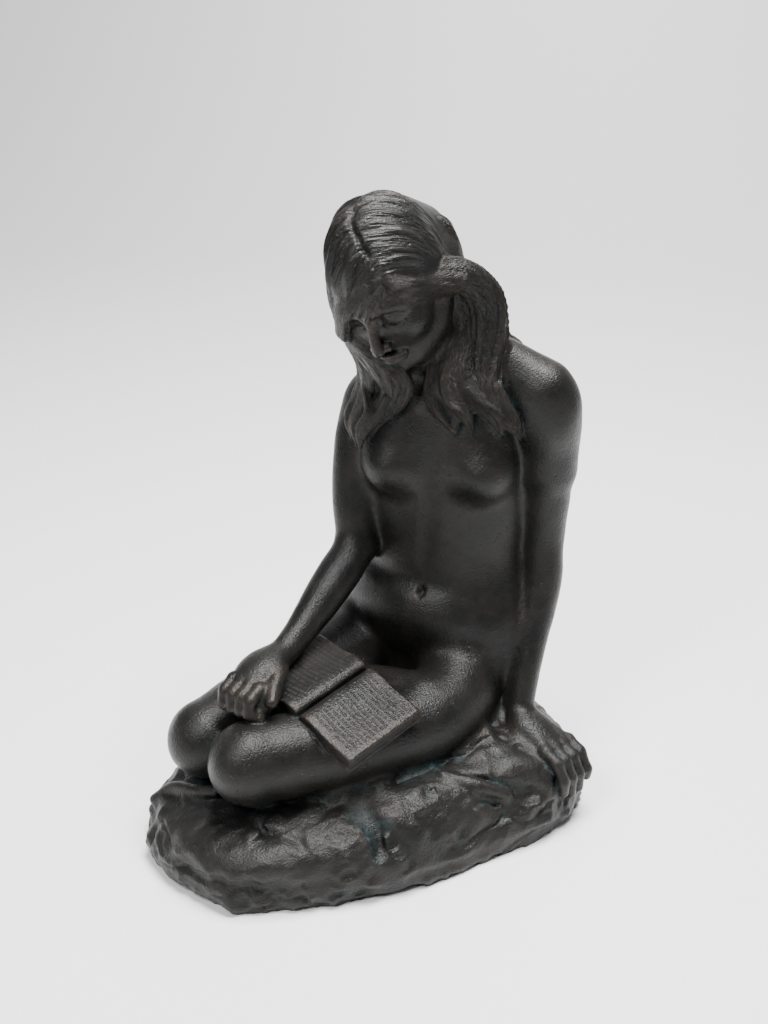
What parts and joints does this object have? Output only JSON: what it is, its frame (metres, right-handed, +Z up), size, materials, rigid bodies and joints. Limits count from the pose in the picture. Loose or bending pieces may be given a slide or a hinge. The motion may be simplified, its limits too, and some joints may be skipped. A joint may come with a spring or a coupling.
{
  "type": "statue",
  "caption": "Table-top statue of a seated woman who reads an open book on her lap, cast in one piece with its rock base.",
  "frame": {"origin": "on the floor, under the middle of the statue's box", "axes": "+Z up; the rock's long side runs along X, the knees point to -X, and the figure's open side faces -Y"},
  "size_m": [0.2236, 0.1698, 0.3031],
  "materials": {
    "bronze": "dark brown patina, satin, with blue-green verdigris in the hollows"
  },
  "bodies": {
    "root": {"statue": "bronze"}
  },
  "joints": []
}
